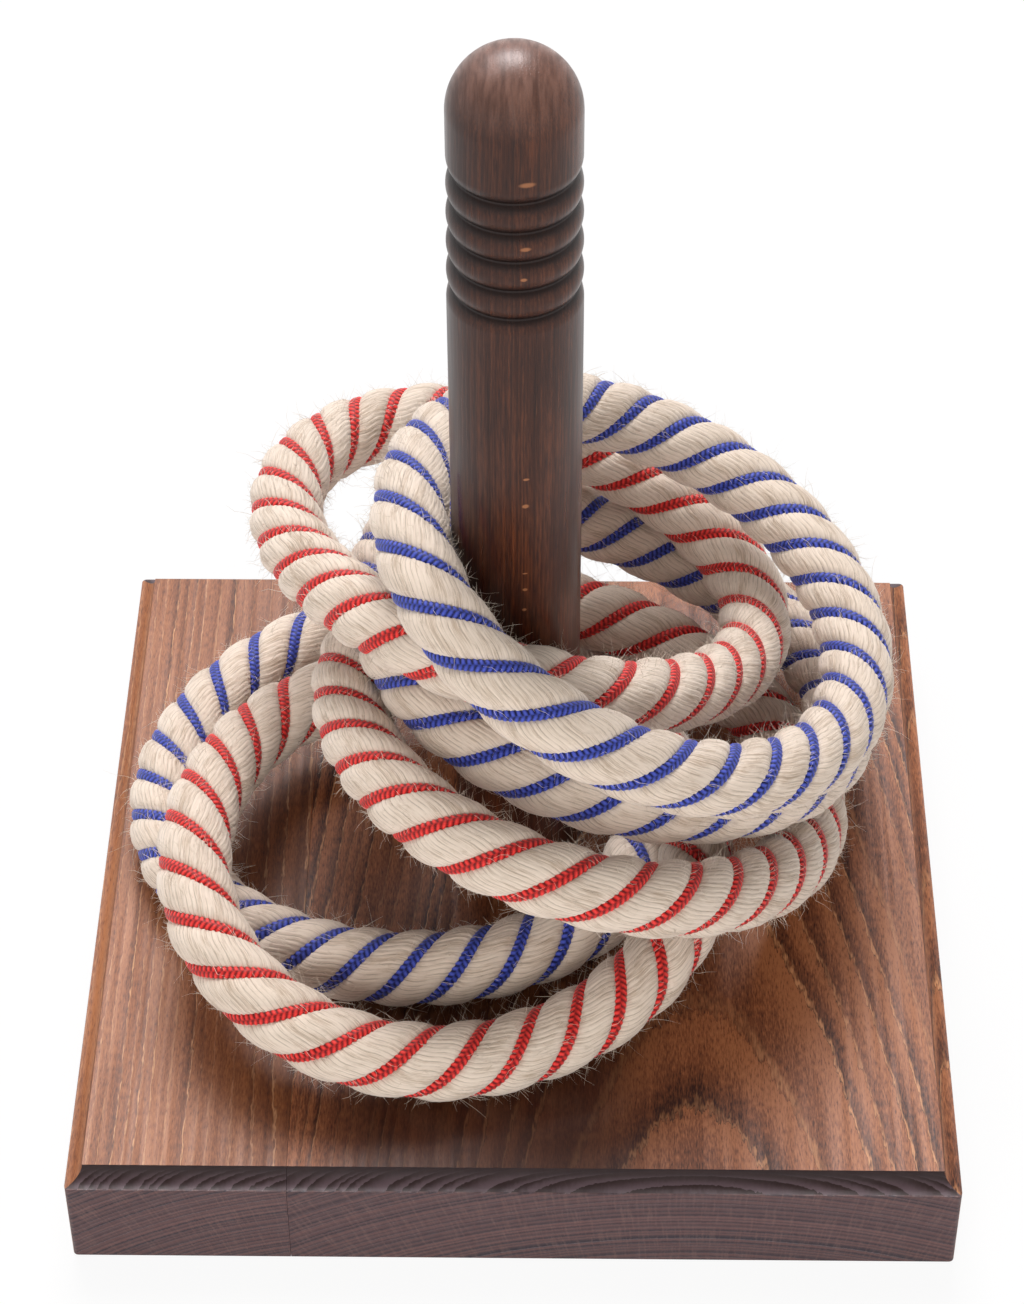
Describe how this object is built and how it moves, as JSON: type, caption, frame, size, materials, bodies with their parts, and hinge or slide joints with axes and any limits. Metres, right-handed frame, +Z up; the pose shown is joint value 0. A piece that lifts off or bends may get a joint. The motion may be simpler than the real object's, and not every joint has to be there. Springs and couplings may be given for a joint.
{
  "type": "ring toss set",
  "caption": "Square wooden base and turned post with a loose heap of laid rope quoits wound with red or blue cord, for a throwing game.",
  "frame": {"origin": "middle of the base's underside", "axes": "+Z up along the post, +X to the right and +Y to the back seen from the front"},
  "size_m": [0.25, 0.25, 0.324],
  "materials": {
    "base_wood": "dark stained beech, satin lacquer",
    "post_wood": "dark stained beech, satin lacquer",
    "screw_steel": "zinc plated",
    "jute": "natural jute, laid",
    "red_cord": "red braided cord",
    "blue_cord": "blue braided cord"
  },
  "bodies": {
    "base": {"base_board_wide": "base_wood", "base_board_narrow": "base_wood", "post": "post_wood", "post_screw": "screw_steel"},
    "quoit_1": {"quoit_1_rope": "jute", "quoit_1_cord": "blue_cord"},
    "quoit_2": {"quoit_2_rope": "jute", "quoit_2_cord": "red_cord"},
    "quoit_3": {"quoit_3_rope": "jute", "quoit_3_cord": "red_cord"},
    "quoit_4": {"quoit_4_rope": "jute", "quoit_4_cord": "blue_cord"},
    "quoit_5": {"quoit_5_rope": "jute", "quoit_5_cord": "red_cord"},
    "quoit_6": {"quoit_6_rope": "jute", "quoit_6_cord": "blue_cord"}
  },
  "joints": [
    {"name": "lift_1", "type": "slide", "parent": "base", "child": "quoit_1", "axis": [0, 0, 1], "range_m": [0, 0.3]},
    {"name": "lift_2", "type": "slide", "parent": "quoit_1", "child": "quoit_2", "axis": [0, 0, 1], "range_m": [0, 0.3]},
    {"name": "lift_3", "type": "slide", "parent": "quoit_2", "child": "quoit_3", "axis": [0, 0, 1], "range_m": [0, 0.3]},
    {"name": "lift_4", "type": "slide", "parent": "quoit_3", "child": "quoit_4", "axis": [0, 0, 1], "range_m": [0, 0.29]},
    {"name": "lift_5", "type": "slide", "parent": "quoit_4", "child": "quoit_5", "axis": [0, 0, 1], "range_m": [0, 0.27]},
    {"name": "lift_6", "type": "slide", "parent": "quoit_5", "child": "quoit_6", "axis": [0, 0, 1], "range_m": [0, 0.25]}
  ]
}
